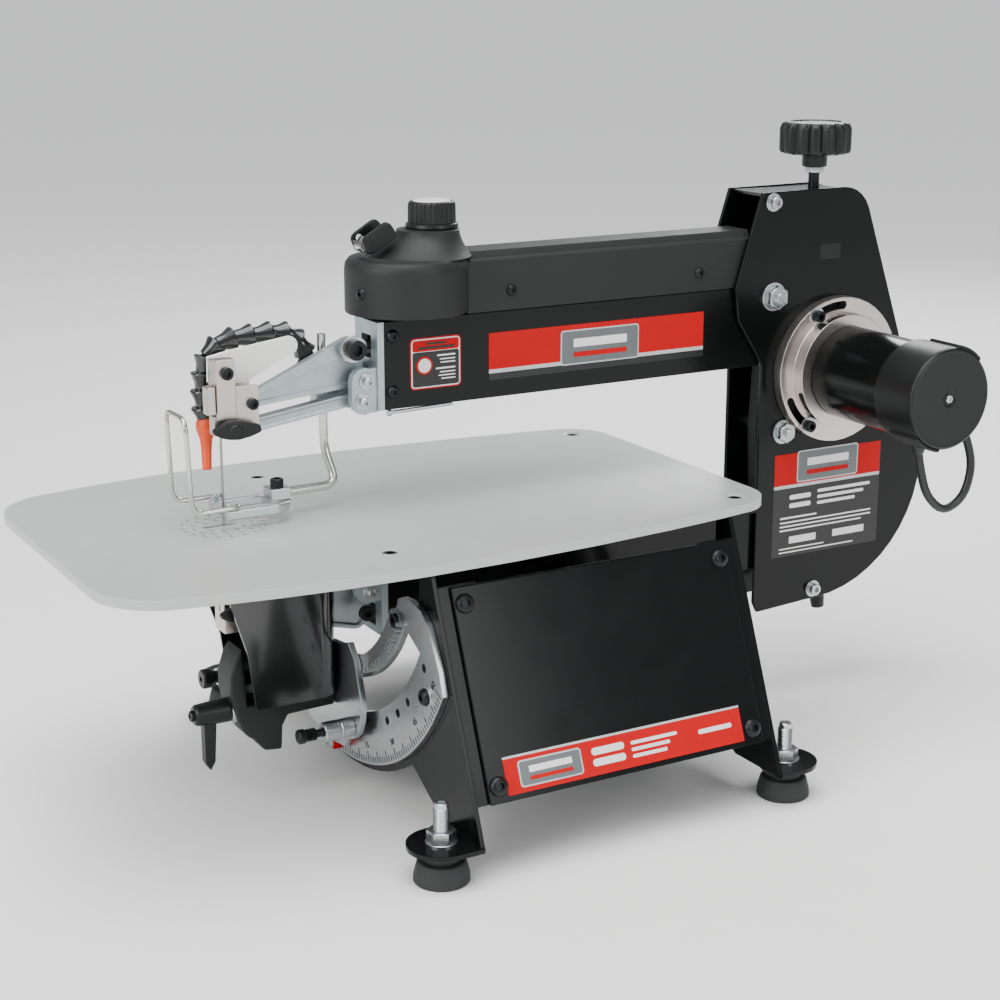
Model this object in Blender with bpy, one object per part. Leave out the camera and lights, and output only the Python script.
"""Parallel-link bench scroll saw with a fixed table and a tilting head.

The head (rear housing, upper arm and lower arm) swings about the line that runs
through the blade at table height. A rocker inside the housing drives one push rod
in each arm, and a bell crank and link at each arm's front turn that into the
blade's stroke. Stations along the saw are counted in millimetres from the blade,
heights from the bench, and sideways distances from the blade's plane.
"""

import math

import bmesh
import bpy
from mathutils import Matrix, Vector

MM = 0.001

# Driving dimensions, in millimetres.
TABLE_FRONT = -116.0
TABLE_REAR = 347.6
TABLE_TOP = 191.0
TABLE_THICK = 6.0
TABLE_HALF = 144.5
SLOT_HALF = 1.5
SLOT_Y = (-14.0, 9.0)
HOUSING_REAR = 562.0
BLADE_STATION = -(TABLE_FRONT + HOUSING_REAR) / 2.0
GAP = 0.3

# The base: two pressed end plates, two side covers and four levelling feet.
BASE_MIDDLE = 195.0
END_PLATE = (82.3, 85.3)
SIDE_AT_Z = 162.0
SIDE_HALF = 135.0
SIDE_SLOPE = 0.4011
COVER_Z = (47.0, 171.0)
COVER_Y = (93.0, 297.0)
SHEET = 2.0
FLANGE_Z = (182.0, 184.7)
FOOT_X = 168.0
FOOT_Y = 66.0
FOOT_TAB_Z = (22.0, 25.0)
FOOT_TAB_R = 22.0
OPENING_HALF = 110.0
OPENING_R = 140.0
APRON_R = 175.0

# The tilt gear, in radii about the tilt axis (X = 0, Z = TABLE_TOP).
QUADRANT_Y = (78.0, 82.0)
QUADRANT_R = (97.0, 170.0)
WINDOW_R = (112.0, 134.5)
QUADRANT_SPAN = 61.0
QUADRANT_END = [(143.7, 123.3), (136.0, 136.6), (129.6, 147.7), (120.3, 155.4), (106.7, 158.0),
                (95.0, 157.0)]
WINDOW_SPAN = 62.0
TRUNNION_WINDOW_SPAN = 56.0
DETENT_R = 143.0
DETENT_ANGLES = (-15.0, 0.0, 15.0, 30.0, 37.5, 45.0, 60.0)
RACK_Y = (73.7, 77.7)
GEAR_MODULE = 1.5
RACK_TEETH_ROUND = 144
PINION_TEETH = 14
RACK_SPAN = 66.0
PINION_ANGLE = -16.0
CLAMP_R = 125.0
PLUNGER_ANGLE = 15.0
INDEX_Y = (69.0, 73.4)

# The linkage, as (station, height) points.
CRANK_HALF = 4.5
LINK_HALF = 4.0
LINK_EYE = 4.2
ROD_R = 4.0
UPPER_PIVOT = (95.0, 277.0)
UPPER_LINK_PIVOT = (92.0, 264.0)
UPPER_ROD_PIN = (89.0, 297.5)
UPPER_FRONT = (20.0, 270.0)
UPPER_LINK_FRONT = (21.0, 254.0)
LOWER_PIVOT = (95.0, 136.0)
LOWER_LINK_PIVOT = (92.0, 149.0)
LOWER_ROD_PIN = (89.0, 115.5)
LOWER_FRONT = (20.0, 131.0)
LOWER_LINK_FRONT = (21.0, 144.0)
ROCKER_PIVOT = (427.0, 206.5)
UPPER_KNOB = (4.0, 255.0)
LOWER_KNOB = (4.0, 135.0)
BLADE = (135.0, 262.0)

# The arms and the rear housing.
ARM_HALF = 16.5
ARM_WALL = 3.0
ARM_Z = (257.0, 314.5)
ARM_Y = (107.3, 470.0)
LOWER_ARM_Z = (103.0, 154.0)
LOWER_ARM_Y = (107.3, 414.0)
COVER_TOP = 355.0
GUARD_LEVELS = ((71.0, 24.0, 8.0), (103.0, 24.4, 4.0), (111.0, 24.5, 3.0), (148.0, 27.0, -9.0))
GUARD_REAR = 68.5
GUARD_CORNER = 14.0
GUARD_WALL = 2.0
GUARD_SLOT_HALF = 9.5
HOOD_Y = 132.0
HOOD_R = 40.0
DIAL_Y = 151.0
HOLD_DOWN_ROD = (-12.0, 76.0)
FOOT_AXIS_Z = 208.5
FORK_Z = (197.5, 203.7)
PLATE_OUT = 21.0
PLATE_THICK = 3.0
ARM_PIVOT = (414.0, 307.0)
MOTOR_AXIS = (470.0, 250.0)
TENSION_Y = 463.0
KNOB_TOP = 427.0

BLACK_PAINT = ("black_enamel", 0x1A1D1C, 0.25, 0.0)
TABLE_PAINT = ("grey_enamel", 0xBCC0BD, 0.45, 0.0)
ZINC = ("zinc_plate", 0xAEBCC0, 0.30, 0.9)
CAST_ZINC = ("cast_zinc", 0xAEB8BA, 0.45, 0.8)
ALUMINIUM = ("machined_aluminium", 0xC0B4AE, 0.30, 1.0)
STEEL = ("bright_steel", 0xC8C8C6, 0.20, 1.0)
BLACK_PLASTIC = ("black_plastic", 0x2A2E2D, 0.50, 0.0)
GREY_PLASTIC = ("dark_grey_plastic", 0x3A3F3E, 0.60, 0.0)
WHITE_PLASTIC = ("white_plastic", 0xEFEFEB, 0.45, 0.0)
ORANGE_PLASTIC = ("orange_plastic", 0xF0602A, 0.40, 0.0)
RUBBER = ("black_rubber", 0x202221, 0.80, 0.0)
CAST_IRON = ("painted_casting", 0x3A3D3D, 0.60, 0.1)


# ---------------------------------------------------------------- places

def world(x, y, z):
    """A point given from the blade and the bench, in metres in the part's frame."""
    return Vector((x, y + BLADE_STATION, z)) * MM


def arc(centre, radius, start, end, steps):
    """Points on an arc, with angles in degrees from the first axis to the second."""
    angles = [math.radians(start + (end - start) * i / steps) for i in range(steps + 1)]
    return [(centre[0] + radius * math.cos(a), centre[1] + radius * math.sin(a)) for a in angles]


def circle(centre, radius, steps=16):
    return arc(centre, radius, 0.0, 360.0, steps)[:-1]


def hanging(radius, angle):
    """A point at a radius from the tilt axis, at an angle from straight down."""
    a = math.radians(angle)
    return (radius * math.sin(a), TABLE_TOP - radius * math.cos(a))


def fan(radius, start, end, steps):
    return [hanging(radius, start + (end - start) * i / steps) for i in range(steps + 1)]


def sector(inner, outer, start, end, steps):
    return fan(outer, start, end, steps) + fan(inner, end, start, steps)


def rectangle(low_a, low_b, high_a, high_b):
    return [(low_a, low_b), (high_a, low_b), (high_a, high_b), (low_a, high_b)]


def capsule(first, second, first_r, second_r, steps=8):
    """The outline round two eyes of a link."""
    angle = math.degrees(math.atan2(second[1] - first[1], second[0] - first[0]))
    return (arc(first, first_r, angle + 90.0, angle + 270.0, steps)
            + arc(second, second_r, angle - 90.0, angle + 90.0, steps))


def mirrored(right_side):
    """A closed outline from its right half, listed from front to rear."""
    return right_side + [(-a, b) for a, b in reversed(right_side)]


def smooth(points, per_span):
    """Points along a smooth curve that passes through the given ones."""
    ends = [2 * points[0] - points[1], *points, 2 * points[-1] - points[-2]]
    out = []
    for i in range(1, len(ends) - 2):
        a, b, c, d = ends[i - 1:i + 3]
        for step in range(per_span):
            t = step / per_span
            out.append(0.5 * (2 * b + (c - a) * t + (2 * a - 5 * b + 4 * c - d) * t ** 2
                              + (3 * b - a - 3 * c + d) * t ** 3))
    return out + [points[-1]]


# ---------------------------------------------------------------- makers

def material(spec):
    name, colour, roughness, metallic = spec
    found = bpy.data.materials.get(name)
    if found:
        return found
    made = bpy.data.materials.new(name)
    made.use_nodes = True
    shader = made.node_tree.nodes["Principled BSDF"]
    channels = [((colour >> shift) & 255) / 255.0 for shift in (16, 8, 0)]
    linear = [c / 12.92 if c <= 0.04045 else ((c + 0.055) / 1.055) ** 2.4 for c in channels]
    shader.inputs["Base Color"].default_value = (*linear, 1.0)
    shader.inputs["Roughness"].default_value = roughness
    shader.inputs["Metallic"].default_value = metallic
    return made


def finish(name, bm, spec):
    """Turn a bmesh into a named object with its material."""
    bmesh.ops.remove_doubles(bm, verts=bm.verts, dist=1e-6)
    bmesh.ops.recalc_face_normals(bm, faces=bm.faces)
    mesh = bpy.data.meshes.new(name)
    bm.to_mesh(mesh)
    bm.free()
    mesh.materials.append(material(spec))
    mesh.shade_smooth()
    mesh.set_sharp_from_angle(angle=math.radians(35))
    made = bpy.data.objects.new(name, mesh)
    bpy.context.scene.collection.objects.link(made)
    return made


def slab(name, axis, low, high, outer, holes=(), spec=BLACK_PAINT):
    """A flat outline, with holes, given thickness along one axis."""
    order = {"X": lambda a, b, c: (c, a, b), "Y": lambda a, b, c: (a, c, b), "Z": lambda a, b, c: (a, b, c)}
    place = order[axis]
    bm = bmesh.new()
    edges = []
    for loop in (outer, *holes):
        verts = [bm.verts.new(world(*place(a, b, low))) for a, b in loop]
        edges += [bm.edges.new((verts[i - 1], verts[i])) for i in range(len(verts))]
    bmesh.ops.triangle_fill(bm, edges=edges, use_beauty=True)
    grown = bmesh.ops.extrude_face_region(bm, geom=bm.faces[:])["geom"]
    shift = world(*place(0.0, 0.0, high)) - world(*place(0.0, 0.0, low))
    bmesh.ops.translate(bm, verts=[g for g in grown if isinstance(g, bmesh.types.BMVert)], vec=shift)
    return finish(name, bm, spec)


def box(name, low, high, spec=BLACK_PAINT):
    return slab(name, "Z", low[2], high[2], rectangle(low[0], low[1], high[0], high[1]), (), spec)


def loft(name, rings, spec, closed=False):
    """Join rings of points, each with the same count, into one closed solid."""
    bm = bmesh.new()
    rows = [[bm.verts.new(p) for p in ring] for ring in rings]
    pairs = list(zip(rows, rows[1:])) + ([(rows[-1], rows[0])] if closed else [])
    for lower, upper in pairs:
        for i in range(len(lower)):
            bm.faces.new((lower[i - 1], lower[i], upper[i], upper[i - 1]))
    if not closed:
        bm.faces.new(rows[0])
        bm.faces.new(rows[-1])
    bmesh.ops.triangulate(bm, faces=bm.faces[:])
    return finish(name, bm, spec)


def turned(name, centre, axis, profile, spec, steps=24, ring=False):
    """Revolve (radius, distance along the axis) points; ring closes the profile on itself."""
    turn = {"X": Vector((1, 0, 0)), "Y": Vector((0, 1, 0)), "Z": Vector((0, 0, 1))}.get(axis)
    along = turn if turn else Vector(axis).normalized()
    side = along.cross(Vector((0, 0, 1)) if abs(along.z) < 0.9 else Vector((1, 0, 0))).normalized()
    other = along.cross(side)
    origin = world(*centre)
    rings = []
    for radius, distance in profile:
        angles = [2 * math.pi * i / steps for i in range(steps)]
        rings.append([origin + MM * (along * distance + side * radius * math.cos(a)
                                     + other * radius * math.sin(a)) for a in angles])
    return loft(name, rings, spec, closed=ring)


def tube(name, points, radius, spec, per_span=4, resolution=2):
    """A round bar or lead along a smooth curve, with closed ends."""
    curve = bpy.data.curves.new(name, "CURVE")
    curve.dimensions = "3D"
    curve.bevel_depth = radius * MM
    curve.bevel_resolution = resolution
    curve.use_fill_caps = True
    path = smooth([world(*p) for p in points], per_span)
    spline = curve.splines.new("POLY")
    spline.points.add(len(path) - 1)
    for point, place in zip(spline.points, path):
        point.co = (*place, 1.0)
    curve.materials.append(material(spec))
    made = bpy.data.objects.new(name, curve)
    bpy.context.scene.collection.objects.link(made)
    return made


def combine(target, tools, operation):
    """Join helper solids to a piece, or cut them from it."""
    for tool in tools:
        tool.hide_render = True
        tool.display_type = "WIRE"
        modifier = target.modifiers.new(tool.name, "BOOLEAN")
        modifier.operation = operation
        modifier.object = tool
    return target


def join(target, *tools):
    return combine(target, tools, "UNION")


def cut(target, *tools):
    return combine(target, tools, "DIFFERENCE")


def drill(name, axis, centre, radius, length, steps=16):
    """A straight cutter for a round hole, centred on a point."""
    return turned(name, centre, axis, [(radius, -length / 2), (radius, length / 2)], STEEL, steps)


# ---------------------------------------------------------------- the base

def side_x(z):
    """How far out the sloping side stands at a height."""
    return SIDE_HALF + (SIDE_AT_Z - z) * SIDE_SLOPE


def half_width(y):
    """The table's half width, widest a little behind the blade."""
    widest = 70.0
    bulge = 736.0 if y < widest else 1524.0
    return TABLE_HALF - (y - widest) ** 2 / (2 * bulge)


def make_table():
    corner = 45.0
    front = arc((85.0, TABLE_FRONT + corner), corner, -90.0, -12.0, 8)
    sides = [(half_width(y), y) for y in (-50.0, -20.0, 20.0, 70.0, 130.0, 190.0, 250.0, 300.0)]
    rear_corner = 32.0
    rear = arc((92.0, TABLE_REAR - rear_corner), rear_corner, 0.0, 90.0, 6)
    outline = mirrored(front + sides + rear)
    plate = slab("table_plate", "Z", TABLE_TOP - TABLE_THICK, TABLE_TOP, outline, (), TABLE_PAINT)
    over = 0.5
    depth = TABLE_THICK + over
    flare = [(SLOT_HALF + depth, TABLE_TOP - depth), (SLOT_HALF - over, TABLE_TOP + over),
             (over - SLOT_HALF, TABLE_TOP + over), (-SLOT_HALF - depth, TABLE_TOP - depth)]
    return cut(plate, slab("blade_slot", "Y", *SLOT_Y, flare))


def make_end_plate(name, rear):
    def station(y):
        return 2 * BASE_MIDDLE - y if rear else y

    def span(low, high):
        return sorted((station(low), station(high)))

    inset = SHEET + GAP
    top, bottom = FLANGE_Z[1] - 0.5, FOOT_TAB_Z[0] + 0.5
    right = [(140.0, bottom), (side_x(bottom) - inset, bottom), (side_x(top) - inset, top)]
    outline = mirrored(right) + fan(APRON_R, -34.0, 34.0, 16)
    swing = math.degrees(math.asin(OPENING_HALF / OPENING_R))
    opening = ([(OPENING_HALF, FLANGE_Z[0] - 4.0)] + fan(OPENING_R, swing, -swing, 20)
               + [(-OPENING_HALF, FLANGE_Z[0] - 4.0)])
    plate = slab(name, "Y", *span(*END_PLATE), outline, [opening])
    flange = box(name + "_flange", (-118.0, span(58.0, 84.0)[0], FLANGE_Z[0]),
                 (118.0, span(58.0, 84.0)[1], FLANGE_Z[1]))
    parts = [flange]
    for side in (-1.0, 1.0):
        tab_arc = arc((side * FOOT_X, station(FOOT_Y)), FOOT_TAB_R, 180.0, 360.0, 10)
        if rear:
            tab_arc = arc((side * FOOT_X, station(FOOT_Y)), FOOT_TAB_R, 0.0, 180.0, 10)
        tab = tab_arc + [(tab_arc[-1][0], station(84.0)), (tab_arc[0][0], station(84.0))]
        hole = circle((side * FOOT_X, station(FOOT_Y)), 5.6, 12)
        suffix = "right" if side > 0 else "left"
        parts.append(slab(f"{name}_tab_{suffix}", "Z", *FOOT_TAB_Z, tab, [hole]))
        outer, inner = side_x(COVER_Z[0]) - inset - 0.4, side_x(COVER_Z[1]) - inset - 0.4
        lip = [(side * outer, COVER_Z[0]), (side * inner, COVER_Z[1]),
               (side * (inner - 2.4), COVER_Z[1]), (side * (outer - 2.4), COVER_Z[0])]
        parts.append(slab(f"{name}_lip_{suffix}", "Y", *span(83.0, 112.0), lip))
    return join(plate, *parts)


def make_side_cover(name, side):
    low, high = COVER_Z
    section = [(side * side_x(low), low), (side * side_x(high), high),
               (side * (side_x(high) - SHEET), high), (side * (side_x(low) - SHEET), low)]
    return slab(name, "Y", *COVER_Y, section)


def make_foot(name, x, y):
    profile = [(17.5, 0.0), (17.5, 5.0), (13.5, 9.0), (13.5, 15.0), (16.0, 18.0), (16.0, 21.6), (5.0, 21.6),
               (5.0, 25.4), (8.8, 25.4), (8.8, 33.0), (5.0, 33.0), (5.0, 49.5), (3.8, 51.0)]
    return turned(name, (x, y, 0.0), "Z", profile, RUBBER, 20)


def make_quadrant():
    inner, outer = QUADRANT_R
    outline = fan(outer, -QUADRANT_SPAN, QUADRANT_SPAN, 40) + QUADRANT_END
    outline += fan(inner, RACK_SPAN + 2.0, -RACK_SPAN - 2.0, 40)
    outline += [(-x, z) for x, z in reversed(QUADRANT_END)]
    window = sector(*WINDOW_R, -WINDOW_SPAN, WINDOW_SPAN, 32)
    detents = [circle(hanging(DETENT_R, angle), 3.0, 8) for angle in DETENT_ANGLES]
    return slab("tilt_quadrant", "Y", *QUADRANT_Y, outline, [window, *detents], ZINC)


def tooth(pitch_radius, index, count, start, outline_of):
    """One trapezoid tooth: root, flank, tip and flank points."""
    pitch = 360.0 / count
    root, tip = pitch_radius - 1.35 * GEAR_MODULE, pitch_radius + 0.85 * GEAR_MODULE
    centre = start + index * pitch
    wide, narrow = 0.30 * pitch, 0.10 * pitch
    return [outline_of(root, centre - wide), outline_of(tip, centre - narrow),
            outline_of(tip, centre + narrow), outline_of(root, centre + wide)]


def make_rack():
    pitch = 360.0 / RACK_TEETH_ROUND
    radius = GEAR_MODULE * RACK_TEETH_ROUND / 2.0
    count = int(2 * RACK_SPAN / pitch)
    start = PINION_ANGLE - pitch * int((PINION_ANGLE + RACK_SPAN) / pitch)
    teeth = [p for i in range(count) for p in tooth(radius, i, RACK_TEETH_ROUND, start, hanging)]
    first, last = start - pitch, start + count * pitch
    outline = teeth + fan(QUADRANT_R[0] + 0.5, last, first, 30)
    return slab("tilt_rack", "Y", *RACK_Y, outline, (), ZINC)


def make_base():
    make_table()
    make_end_plate("front_end_plate", rear=False)
    make_end_plate("rear_end_plate", rear=True)
    make_side_cover("side_cover_left", -1.0)
    make_side_cover("side_cover_right", 1.0)
    for end, y in (("front", FOOT_Y), ("rear", 2 * BASE_MIDDLE - FOOT_Y)):
        make_foot(f"levelling_foot_{end}_left", -FOOT_X, y)
        make_foot(f"levelling_foot_{end}_right", FOOT_X, y)
    make_quadrant()
    make_rack()
    slab("rear_trunnion", "Y", 308.0, 312.0, sector(97.0, 150.0, -RACK_SPAN, RACK_SPAN, 28),
         [sector(112.0, 124.0, -TRUNNION_WINDOW_SPAN, TRUNNION_WINDOW_SPAN, 20)], ZINC)


# ---------------------------------------------------------------- the tilting head

def make_tilt_gear():
    """The parts of the head that ride on the quadrant."""
    pinion_at = hanging(GEAR_MODULE * (RACK_TEETH_ROUND + PINION_TEETH) / 2.0, PINION_ANGLE)
    plunger_at = hanging(DETENT_R, PLUNGER_ANGLE)
    clamp_at = hanging(CLAMP_R, 0.0)
    holes = [circle(pinion_at, 3.4, 12), circle(plunger_at, 5.4, 12), circle(clamp_at, 4.0, 12)]
    right = [(22.0, 105.8), (34.0, 110.0), (43.0, 100.0), (48.0, 85.0), (52.0, 73.0), (50.5, 61.0),
             (46.0, 50.5), (38.0, 44.0), (28.0, 40.5), (24.0, 34.3), (9.0, 31.8)]
    left = [(-8.0, 32.3), (-26.0, 36.5), (-41.0, 45.0), (-50.0, 58.0), (-53.0, 72.0), (-50.0, 88.0),
            (-44.0, 100.0), (-36.0, 110.0), (-22.0, 105.8), (0.0, 103.0)]
    outline = right + left
    slab("index_plate", "Y", *INDEX_Y, outline, holes, ZINC)
    clamp_half = 12.0
    slab("tilt_clamp_plate", "Y", QUADRANT_Y[1] + 0.4, QUADRANT_Y[1] + 4.4,
         rectangle(-clamp_half, TABLE_TOP - 139.0, clamp_half, TABLE_TOP - 107.0),
         [circle(clamp_at, 4.0, 12)], ZINC)

    turned("plunger_barrel", (plunger_at[0], 0.0, plunger_at[1]), "Y",
           [(5.0, 73.2), (5.0, 68.6), (6.5, 68.6), (6.5, 48.0), (3.2, 48.0), (3.2, 73.2)], STEEL, 16,
           ring=True)
    turned("index_plunger", (plunger_at[0], 0.0, plunger_at[1]), "Y",
           [(2.0, 30.0), (5.0, 31.5), (5.0, 40.0), (4.0, 41.5), (2.6, 42.3), (2.6, 75.5), (1.6, 77.0)],
           BLACK_PLASTIC, 12)
    make_pinion(pinion_at)

    rod = turned("tilt_clamp_lever", (clamp_at[0], 0.0, clamp_at[1]), "Y",
                 [(4.0, -27.0), (7.0, -25.0), (7.5, -6.0), (3.5, -5.0), (3.5, 90.0), (2.5, 91.0)],
                 BLACK_PLASTIC, 14)
    handle = turned("tilt_clamp_handle", (clamp_at[0], -16.0, clamp_at[1]), (0.0, -0.06, -1.0),
                    [(4.0, 0.0), (5.4, 6.0), (4.2, 16.0), (3.8, 36.0), (2.0, 39.5)], BLACK_PLASTIC, 12)
    join(rod, handle)


def make_pinion(at):
    radius = GEAR_MODULE * PINION_TEETH / 2.0

    def turned_outward(r, angle):
        a = math.radians(angle)
        return (at[0] + r * math.sin(a), at[1] - r * math.cos(a))

    half_pitch = 180.0 / PINION_TEETH
    start = PINION_ANGLE + 180.0 + half_pitch
    outline = [p for i in range(PINION_TEETH) for p in tooth(radius, i, PINION_TEETH, start, turned_outward)]
    gear = slab("tilt_pinion", "Y", INDEX_Y[1] + GAP, RACK_Y[1], outline, (), STEEL)
    shaft = turned("tilt_pinion_shaft", (at[0], 0.0, at[1]), "Y",
                   [(6.0, -8.0), (8.0, -6.0), (8.0, 8.0), (3.0, 9.0), (3.0, 75.0)], STEEL, 14)
    join(gear, shaft)


def guard_wing(level, side):
    """Half of the guard's thin wall at a level, from its front edge to the slot and back inside."""
    z, half, front = level
    centre = (half - GUARD_CORNER, GUARD_REAR - GUARD_CORNER)
    outer = arc(centre, GUARD_CORNER, 0.0, 90.0, 6)
    inner = arc(centre, GUARD_CORNER - GUARD_WALL, 90.0, 0.0, 6)
    slot_edge = [(GUARD_SLOT_HALF, GUARD_REAR), (GUARD_SLOT_HALF, GUARD_REAR - GUARD_WALL)]
    outline = [(half, front), *outer, *slot_edge, *inner, (half - GUARD_WALL, front)]
    return [world(side * a, b, z) for a, b in outline]


def make_lower_guard():
    """A thin chute round the lower blade clamp, open to the front and the top, slotted for the link."""
    bm = bmesh.new()
    wings = [[[bm.verts.new(p) for p in guard_wing(level, side)] for level in GUARD_LEVELS]
             for side in (1, -1)]
    count = len(wings[0][0])
    slot_out = count // 2 - 1
    slot_in = slot_out + 1
    for wing in wings:
        bm.faces.new(wing[0])
        bm.faces.new(wing[-1])
        for step, (low, high) in enumerate(zip(wing, wing[1:])):
            walls = [j for j in range(count) if step or j != slot_in]
            for j in walls:
                bm.faces.new((low[j - 1], low[j], high[j], high[j - 1]))
    right, left = wings
    for a, b in ((right[0], left[0]), (right[1], left[1])):
        bm.faces.new((a[slot_out], a[slot_in], b[slot_in], b[slot_out]))
    for j in (slot_out, slot_in):
        bm.faces.new((right[0][j], left[0][j], left[1][j], right[1][j]))
    bmesh.ops.triangulate(bm, faces=bm.faces[:])
    finish("lower_guard", bm, BLACK_PAINT)


def make_nose_casting():
    z = hanging(CLAMP_R, 0.0)[1]
    outline = [(4.5, 110.0), (0.0, 104.0), (-4.0, 92.0), (-4.5, 81.0), (-2.0, 68.0), (2.0, 56.0),
               (7.0, 48.0), (10.0, 47.0), (18.0, 37.0), (30.0, 35.6), (31.0, 52.0), (35.0, 59.0),
               (68.6, 60.0), (68.6, 70.4), (7.0, 70.4)]
    casting = slab("nose_casting", "X", -12.0, 12.0, outline, (), CAST_IRON)
    return cut(casting, drill("nose_casting_bore", "Y", (0.0, 30.0, z), 4.0, 120.0, 12))


def make_lower_arm():
    low, high = LOWER_ARM_Z
    half, wall = ARM_HALF, ARM_WALL
    section = [(-half, low), (-half, high), (half, high), (half, low), (half - wall, low),
               (half - wall, high - wall), (wall - half, high - wall), (wall - half, low)]
    beam = slab("lower_arm_beam", "Y", *LOWER_ARM_Y, section)
    hanger = slab("lower_arm_hanger", "Y", 312.4, 316.4, sector(84.0, 120.0, -22.0, 22.0, 8))
    return join(beam, hanger)


def make_link_bracket(name, pivots, z_range, plate_y, spec):
    """A cast bracket that carries the fixed pivots between two lugs."""
    low, high = z_range
    plate = box(name, (-ARM_HALF, plate_y[0], low), (ARM_HALF, plate_y[1], high), spec)
    ends = sorted(z for _, z in pivots)
    lugs = []
    for side, (a, b) in (("left", (-15.0, -9.0)), ("right", (9.0, 15.0))):
        outline = capsule((93.5, ends[0]), (93.5, ends[1]), 9.0, 9.0, 6)
        square = rectangle(93.0, ends[0] - 8.0, plate_y[0] + 1.0, ends[1] + 8.0)
        lug = slab(f"{name}_lug_{side}", "X", a, b, outline, (), spec)
        lugs += [lug, slab(f"{name}_web_{side}", "X", a + 0.5, b - 0.5, square, (), spec)]
    way = box(name + "_rod_way", (-7.0, plate_y[0] - 3.0, rod_height(pivots) - 7.5),
              (7.0, plate_y[1] + 3.0, rod_height(pivots) + 7.5))
    return cut(join(plate, *lugs), way)


def rod_height(pivots):
    """The push rod's height on the arm that holds these pivots."""
    return UPPER_ROD_PIN[1] if pivots[0] == UPPER_PIVOT else LOWER_ROD_PIN[1]


def make_housing():
    """Two side plates and the strip that closes the gap between them over the top and rear."""
    front_low = [(461.0, 73.0), (410.0, 70.0), (406.0, 78.0), (406.0, 257.0), (399.0, 269.0), (384.0, 292.0),
                 (381.0, 315.0), (402.0, 381.0)]
    top_rear = arc((475.0, 356.0), 25.5, 90.0, 22.0, 5)
    belly = arc((462.0, 173.0), 100.0, 20.0, -88.0, 14)
    outline = front_low + top_rear + belly
    holes = [circle(ARM_PIVOT, 5.4, 14), circle(ROCKER_PIVOT, 5.4, 14)]
    boss = circle(MOTOR_AXIS, 16.0, 20)
    slab("housing_plate_left", "X", -PLATE_OUT, PLATE_THICK - PLATE_OUT, outline, holes)
    slab("housing_plate_right", "X", PLATE_OUT - PLATE_THICK, PLATE_OUT, outline, [*holes, boss])
    inner = PLATE_OUT - PLATE_THICK - GAP
    outer_path = [(403.5, 380.2), *arc((475.0, 356.0), 24.2, 90.0, 22.0, 5),
                  *arc((462.0, 173.0), 98.5, 20.0, -88.0, 14)]
    inner_path = [*arc((462.0, 173.0), 96.0, -88.0, 20.0, 14), *arc((475.0, 356.0), 21.7, 22.0, 90.0, 5),
                  (404.5, 377.7)]
    strip = slab("housing_strip", "X", -inner, inner, outer_path + inner_path)
    return cut(strip, drill("housing_strip_hole", "Z", (0.0, TENSION_Y, 379.0), 5.0, 20.0))


def make_pivot_bolt(name, at, washer):
    """A cross bolt with a washer and a nut outside each plate."""
    out = PLATE_OUT + GAP
    profile = [(5.0, -out), (washer, -out), (washer, -out - 2.0), (7.0, -out - 2.2), (7.0, -out - 8.0),
               (4.0, -out - 8.2), (4.0, -out - 11.0)]
    both = list(reversed(profile)) + [(r, -d) for r, d in profile]
    return turned(name, (0.0, *at), "X", both, ZINC, 16)


def make_motor():
    y, z = MOTOR_AXIS
    centre = (0.0, y, z)
    out = PLATE_OUT + GAP
    turned("motor_flange", centre, "X", [(53.5, out), (53.5, 30.0), (42.0, 30.0), (42.0, 40.0), (12.0, 40.0),
                                         (12.0, out)], ALUMINIUM, 40, ring=True)
    turned("motor_body", centre, "X", [(10.0, 40.3), (33.5, 40.3), (33.5, 112.7), (10.0, 112.7)],
           BLACK_PAINT, 36)
    turned("motor_end_cap", centre, "X", [(34.0, 113.0), (35.6, 114.0), (35.6, 146.0), (34.0, 148.0)],
           BLACK_PLASTIC, 36)
    shaft = turned("motor_eccentric", centre, "X", [(4.0, 6.5), (4.0, 39.5)], STEEL, 16)
    disc = turned("motor_eccentric_disc", (0.0, y, z + 1.3), "X", [(12.0, -4.0), (12.0, 8.0)], STEEL, 24)
    join(shaft, disc)
    lead = [(130.0, y - 10.0, z - 36.0), (131.0, y - 8.0, z - 50.0), (133.0, y - 2.0, z - 70.0),
            (135.0, y + 12.0, z - 82.0), (136.0, y + 28.0, z - 74.0), (135.0, y + 35.0, z - 54.0),
            (133.0, y + 31.0, z - 34.0), (131.0, y + 26.0, z - 27.0)]
    tube("motor_lead", lead, 3.0, RUBBER, 3)
    turned("cord_gland", (0.0, 482.0, 73.0), (0.0, 0.15, -1.0),
           [(8.0, -3.0), (8.0, 4.0), (6.0, 6.0), (5.0, 16.0)], BLACK_PLASTIC, 14)


def make_head():
    make_tilt_gear()
    make_lower_guard()
    make_nose_casting()
    make_lower_arm()
    lower_pivots = (LOWER_PIVOT, LOWER_LINK_PIVOT)
    make_link_bracket("lower_bracket", lower_pivots, LOWER_ARM_Z, (102.3, 107.0), CAST_ZINC)
    make_housing()
    make_pivot_bolt("arm_pivot_bolt", ARM_PIVOT, 9.0)
    make_pivot_bolt("rocker_pivot_bolt", ROCKER_PIVOT, 7.2)
    make_motor()


# ---------------------------------------------------------------- the upper arm

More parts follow.
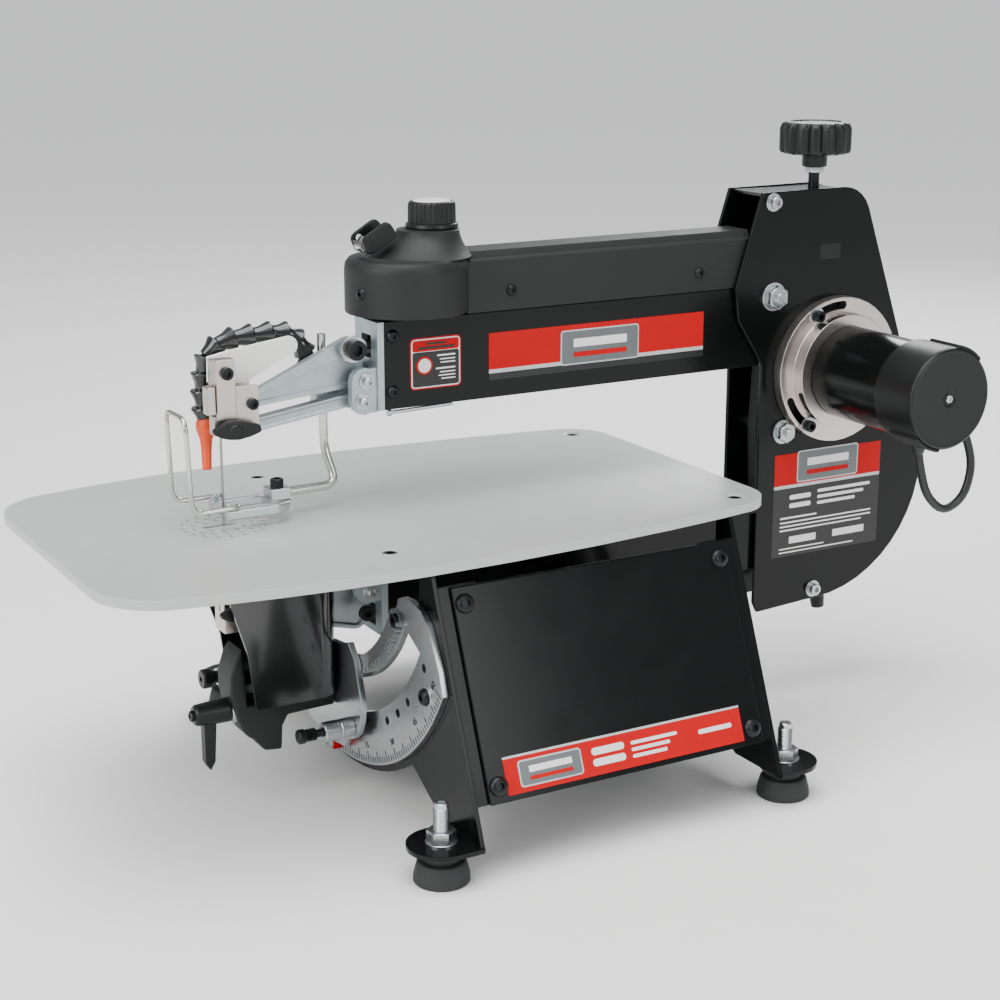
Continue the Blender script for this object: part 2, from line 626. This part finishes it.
def make_upper_arm():
    low, high = ARM_Z
    half, wall = ARM_HALF, ARM_WALL
    section = [(-half, high), (-half, low), (half, low), (half, high), (half - wall, high),
               (half - wall, low + wall), (wall - half, low + wall), (wall - half, high)]
    beam = slab("upper_arm_beam", "Y", *ARM_Y, section)
    below_tail = slab("upper_arm_relief", "X", -30.0, 30.0,
                      [(408.0, 240.0), (480.0, 240.0), (480.0, 294.0), (424.0, 288.0), (408.0, 262.0)])
    tail = box("upper_arm_tail", (-15.0, 453.0, 298.0), (15.0, 469.0, 304.0))
    bore = drill("upper_arm_bore", "X", (0.0, *ARM_PIVOT), 5.4, 60.0)
    way = drill("upper_arm_tail_hole", "Z", (0.0, TENSION_Y, 300.0), 6.6, 30.0)
    cut(join(cut(beam, below_tail), tail), bore, way)

    top, thin = COVER_TOP, 2.2
    bottom = ARM_Z[1] + GAP
    outer = [(-17.0, bottom), (-17.0, top - 5.0), (-13.0, top), (13.0, top), (17.0, top - 5.0),
             (17.0, bottom)]
    inner = [(14.8, bottom), (14.8, top - 5.6), (12.2, top - thin), (-12.2, top - thin), (-14.8, top - 5.6),
             (-14.8, bottom)]
    cover = slab("arm_cover", "Y", 165.0, 396.0, outer + inner, (), GREY_PLASTIC)
    skirt = ARM_Z[1] + 3.5
    hood = turned("arm_cover_hood", (0.0, HOOD_Y, 0.0), "Z",
                  [(HOOD_R, skirt), (HOOD_R, 350.0), (HOOD_R - 3.0, 354.0), (2.0, 356.0), (2.0, 353.0),
                   (HOOD_R - 4.5, 351.0), (HOOD_R - 2.5, skirt)], GREY_PLASTIC, 32, ring=True)
    cap = turned("arm_cover_cone", (0.0, DIAL_Y, 0.0), "Z", [(27.0, 352.0), (26.0, 356.0), (17.0, 370.0)],
                 GREY_PLASTIC, 24)
    mask = box("arm_cover_room", (-14.8, 150.0, bottom - 1.0), (14.8, 175.0, 350.0))
    join(cut(cover, mask), hood, cap)


def make_arm_front():
    make_link_bracket("upper_bracket", (UPPER_PIVOT, UPPER_LINK_PIVOT), ARM_Z, (102.3, 107.0), CAST_ZINC)
    hose = [(-16.0, 67.5, 286.0), (-16.0, 62.0, 297.0), (-16.0, 50.3, 306.0), (-16.0, 37.0, 308.5),
            (-16.0, 23.3, 308.5), (-16.0, 11.0, 306.5), (-16.0, 0.6, 301.5), (-16.0, -6.9, 293.0),
            (-16.0, -9.0, 281.6), (-16.0, -8.5, 268.0), (-16.0, -5.0, 255.0)]
    tube("blower_hose", hose, 5.0, BLACK_PLASTIC, 2)
    turned("blower_nozzle", (-16.0, -5.0, 254.8), (0.20, 0.08, -1.0),
           [(4.6, 2.8), (5.6, 5.0), (3.6, 12.0), (2.8, 30.0), (2.2, 30.5)], ORANGE_PLASTIC, 16)
    holder = box("hold_down_holder", (-19.0, 70.0, 258.0), (-8.3, 83.9, 272.0), CAST_ZINC)
    cut(holder, drill("hold_down_holder_bore", "Z", (*HOLD_DOWN_ROD, 265.0), 3.3, 40.0, 14))
    turned("speed_knob", (0.0, DIAL_Y, 0.0), "Z",
           [(16.5, 370.4), (16.5, 373.0), (14.5, 373.6), (14.0, 386.0), (12.5, 388.0)], BLACK_PLASTIC, 28)
    ears = [(95.6, 366.6), (99.6, 357.4), (103.5, 356.7), (121.0, 366.6), (121.2, 369.8), (117.0, 374.8),
            (112.5, 377.0), (108.4, 376.0)]
    toggle = slab("power_toggle", "X", -10.0, 10.0, ears, (), BLACK_PLASTIC)
    cut(toggle, slab("power_toggle_gap", "X", -7.0, 7.0, [(92.0, 380.0), (92.0, 371.0), (101.0, 362.0),
                                                          (124.0, 372.5), (124.0, 380.0)]))


def make_hold_down():
    """A bent rod with a forked foot that can be turned level with the table."""
    z = FOOT_AXIS_Z
    x, y = HOLD_DOWN_ROD
    rod = [(x, y, 306.0), (x, y, 280.0), (x, y, 250.0), (x, y, 234.0), (-10.0, 79.0, z + 13.0),
           (-6.0, 79.5, z + 3.5), (-1.0, 72.0, z), (0.0, 60.0, z), (0.0, 38.0, z)]
    tube("hold_down_rod", rod, 3.0, STEEL, 3, 2)
    block = box("hold_down_block", (-7.0, 30.0, z - 4.5), (7.0, 44.0, z + 5.5), STEEL)
    cut(block, drill("hold_down_block_bore", "Y", (0.0, 44.0, z), 3.3, 20.0, 14))
    outer, inner, bend, front = 15.5, 12.5, 30.0, -4.0
    outline = ([(-outer, front)] + arc((0.0, bend), outer, 180.0, 0.0, 12) + [(outer, front), (inner, front)]
               + arc((0.0, bend - 1.0), inner, 0.0, 180.0, 10) + [(-inner, front)])
    slab("hold_down_fork", "Z", *FORK_Z, outline, (), STEEL)
    side, low, high = outer + 2.0, FORK_Z[1] + 1.9, 266.0
    right = [(side, 4.0, low), (side, -8.0, low), (side, -18.0, low), (side - 0.3, -25.0, low + 4.0),
             (side - 0.6, -27.0, low + 14.0), (side - 1.0, -28.4, low + 35.0),
             (side - 1.5, -29.5, high - 9.0), (side - 6.5, -30.0, high - 1.0)]
    left = [(-x, y, height) for x, y, height in reversed(right)]
    tube("finger_guard", right + [(0.0, -30.0, high)] + left, 1.6, STEEL, 3, 2)


# ---------------------------------------------------------------- the linkage

def make_crank(name, pivot, front, rod_pin, boss=0.0):
    """A three-eyed bell crank, flat between its eyes, with a round boss beside the rod's eye."""
    outline = hull_of([(front, 6.0), (pivot, 6.5), (rod_pin, 8.5)])
    crank = slab(name, "X", -CRANK_HALF, CRANK_HALF, outline, (), CAST_ZINC)
    if boss:
        profile = [(8.3, 1.0 - CRANK_HALF), (8.3, boss)]
        join(crank, turned(name + "_boss", (0.0, *rod_pin), "X", profile, CAST_ZINC, 16))


def hull_of(eyes):
    """The taut outline round several round eyes, each given as (centre, radius)."""
    points = sorted({p for centre, radius in eyes for p in circle(centre, radius, 16)})

    def half(ordered):
        chain = []
        for p in ordered:
            while len(chain) > 1 and ((chain[-1][0] - chain[-2][0]) * (p[1] - chain[-2][1])
                                      - (chain[-1][1] - chain[-2][1]) * (p[0] - chain[-2][0])) <= 1e-9:
                chain.pop()
            chain.append(p)
        return chain

    return half(points)[:-1] + half(reversed(points))[:-1]


def make_push_rod(name, pin):
    """A straight rod from just behind the crank's eye to just in front of the rocker's eye."""
    start = pin[0] + 10.5
    end = ROCKER_PIVOT[0] - 11.0
    bevel = 1.0
    profile = [(ROD_R - bevel, start), (ROD_R, start + bevel), (ROD_R, end - bevel), (ROD_R - bevel, end)]
    turned(name, (0.0, 0.0, pin[1]), "Y", profile, STEEL, 12)


def make_blade_clamp(name, z_range, slot_z, blade_slot):
    low, high = z_range
    outline = [(-8.0, low + 6.0), (-5.5, low), (25.0, low), (25.0, high - 14.0), (12.0, high - 14.0),
               (12.0, high), (-6.0, high), (-8.0, high - 4.0)]
    block = slab(name, "X", -8.5, 8.5, outline, (), ALUMINIUM)
    slot = box(name + "_slot", (-5.3, 11.0, slot_z[0]), (5.3, 30.0, slot_z[1]))
    return cut(block, slot, blade_slot)


def make_linkage():
    make_crank("upper_bell_crank", UPPER_PIVOT, UPPER_FRONT, UPPER_ROD_PIN, boss=8.0)
    slab("upper_link", "X", -LINK_HALF, LINK_HALF,
         capsule(UPPER_LINK_FRONT, UPPER_LINK_PIVOT, LINK_EYE, LINK_EYE), (), CAST_ZINC)
    make_push_rod("upper_push_rod", UPPER_ROD_PIN)
    make_crank("lower_bell_crank", LOWER_PIVOT, LOWER_FRONT, LOWER_ROD_PIN)
    slab("lower_link", "X", -LINK_HALF, LINK_HALF,
         capsule(LOWER_LINK_FRONT, LOWER_LINK_PIVOT, LINK_EYE, LINK_EYE), (), CAST_ZINC)
    make_push_rod("lower_push_rod", LOWER_ROD_PIN)

    upper_slot = box("upper_blade_slot", (-1.2, -4.5, 240.0), (1.2, 4.5, 266.0))
    make_blade_clamp("upper_blade_clamp", (247.0, 300.0), (240.0, 281.0), upper_slot)
    lower_slot = box("lower_blade_slot", (-0.8, -2.0, 134.7), (0.8, 2.0, 170.0))
    make_blade_clamp("lower_blade_clamp", (120.0, 154.0), (110.0, 165.0), lower_slot)
    for name, (y, z) in (("upper_clamp_knob", UPPER_KNOB), ("lower_clamp_knob", LOWER_KNOB)):
        radii = [7.6 if i % 2 else 5.6 for i in range(10)]
        lobes = [(y + r * math.cos(math.pi * i / 5), z + r * math.sin(math.pi * i / 5))
                 for i, r in enumerate(radii)]
        slab(name, "X", 9.0, 16.0, lobes, (), BLACK_PLASTIC)
    box("saw_blade", (-0.3, -1.3, BLADE[0]), (0.3, 1.3, BLADE[1]), STEEL)
    slab("clamp_lever", "X", -8.0, -5.2, [(13.0, 288.0), (13.0, 303.0), (46.0, 308.5), (56.0, 304.0),
                                          (56.0, 294.0), (50.0, 290.0), (27.0, 287.5)], (), WHITE_PLASTIC)

    rocker_eyes = [((ROCKER_PIVOT[0], UPPER_ROD_PIN[1]), 7.5), (ROCKER_PIVOT, 12.0),
                   ((ROCKER_PIVOT[0], LOWER_ROD_PIN[1]), 7.5)]
    slab("rocker", "X", -5.0, 5.0, hull_of(rocker_eyes), [circle(ROCKER_PIVOT, 5.4, 14)], CAST_IRON)
    slab("connecting_rod", "X", -LINK_HALF, LINK_HALF,
         capsule((ROCKER_PIVOT[0] + 21.5, MOTOR_AXIS[1]), MOTOR_AXIS, 6.0, 21.0, 12),
         [circle(MOTOR_AXIS, 15.6, 20)], ALUMINIUM)


def make_tension_knob():
    crown = [(8.0, 395.0), (8.0, 404.0), (24.0, 404.5), (26.0, 406.5), (26.0, 424.0), (23.0, 426.5),
             (10.0, KNOB_TOP)]
    stud = [(4.0, 280.6), (8.0, 280.7), (8.0, 284.1), (4.0, 284.5)]
    profile = stud + [(4.0, 394.0)] + crown
    turned("tension_knob", (0.0, TENSION_Y, 0.0), "Z", profile, BLACK_PLASTIC, 32)


# ---------------------------------------------------------------- joints

HEAD = ["index_plate", "tilt_clamp_plate", "plunger_barrel", "lower_guard", "nose_casting", "lower_arm_beam",
        "lower_bracket", "housing_plate_left", "housing_plate_right", "housing_strip", "arm_pivot_bolt",
        "rocker_pivot_bolt", "motor_flange", "motor_body", "motor_end_cap", "motor_lead", "cord_gland"]
ARM = ["upper_arm_beam", "arm_cover", "upper_bracket", "blower_hose", "blower_nozzle", "hold_down_holder"]


def joint_groups():
    """Each joint's name, its point, the joint it hangs from and the nodes it moves."""
    pinion = hanging(GEAR_MODULE * (RACK_TEETH_ROUND + PINION_TEETH) / 2.0, PINION_ANGLE)
    plunger = hanging(DETENT_R, PLUNGER_ANGLE)
    return [
        ("head_tilt", (0.0, 0.0, TABLE_TOP), None, HEAD),
        ("arm_lift", (0.0, *ARM_PIVOT), "head_tilt", ARM),
        ("pinion_turn", (pinion[0], 0.0, pinion[1]), "head_tilt", ["tilt_pinion"]),
        ("clamp_turn", (0.0, 0.0, TABLE_TOP - CLAMP_R), "head_tilt", ["tilt_clamp_lever"]),
        ("plunger_slide", (plunger[0], 0.0, plunger[1]), "head_tilt", ["index_plunger"]),
        ("motor_spin", (0.0, *MOTOR_AXIS), "head_tilt", ["motor_eccentric"]),
        ("rocker_swing", (0.0, *ROCKER_PIVOT), "head_tilt", ["rocker", "connecting_rod"]),
        ("tension_turn", (0.0, TENSION_Y, 400.0), "head_tilt", ["tension_knob"]),
        ("blade_stroke", (0.0, 0.0, LOWER_FRONT[1]), "head_tilt", ["lower_blade_clamp", "saw_blade"]),
        ("lower_knob_turn", (0.0, *LOWER_KNOB), "blade_stroke", ["lower_clamp_knob"]),
        ("lower_crank_swing", (0.0, *LOWER_PIVOT), "head_tilt", ["lower_bell_crank"]),
        ("lower_link_swing", (0.0, *LOWER_LINK_PIVOT), "head_tilt", ["lower_link"]),
        ("lower_rod_slide", (0.0, *LOWER_ROD_PIN), "head_tilt", ["lower_push_rod"]),
        ("upper_clamp_slide", (0.0, 0.0, UPPER_FRONT[1]), "arm_lift", ["upper_blade_clamp", "clamp_lever"]),
        ("upper_knob_turn", (0.0, *UPPER_KNOB), "upper_clamp_slide", ["upper_clamp_knob"]),
        ("upper_crank_swing", (0.0, *UPPER_PIVOT), "arm_lift", ["upper_bell_crank"]),
        ("upper_link_swing", (0.0, *UPPER_LINK_PIVOT), "arm_lift", ["upper_link"]),
        ("upper_rod_slide", (0.0, *UPPER_ROD_PIN), "arm_lift", ["upper_push_rod"]),
        ("speed_turn", (0.0, DIAL_Y, 380.0), "arm_lift", ["speed_knob"]),
        ("toggle_rock", (0.0, 106.0, 358.0), "arm_lift", ["power_toggle"]),
        ("hold_down_slide", (*HOLD_DOWN_ROD, 280.0), "arm_lift", ["hold_down_rod"]),
        ("foot_level", (0.0, 40.0, FOOT_AXIS_Z), "hold_down_slide", ["hold_down_block", "hold_down_fork"]),
        ("guard_swing", (0.0, 4.0, FORK_Z[1] + 1.9), "foot_level", ["finger_guard"]),
    ]


def hang_on_joints():
    """Give every moving piece a parent empty on its joint's axis."""
    empties = {}
    for name, point, parent, nodes in joint_groups():
        empty = bpy.data.objects.new(name, None)
        empty.empty_display_size = 0.01
        bpy.context.scene.collection.objects.link(empty)
        empty.matrix_world = Matrix.Translation(world(*point))
        empties[name] = (empty, world(*point))
        if parent:
            above, above_at = empties[parent]
            empty.parent = above
            empty.matrix_parent_inverse = Matrix.Translation(-above_at)
        for node in nodes:
            piece = bpy.data.objects[node]
            piece.parent = empty
            piece.matrix_parent_inverse = Matrix.Translation(-world(*point))


def main():
    for old in list(bpy.data.objects):
        bpy.data.objects.remove(old)
    make_base()
    make_head()
    make_upper_arm()
    make_arm_front()
    make_hold_down()
    make_linkage()
    make_tension_knob()
    hang_on_joints()


main()
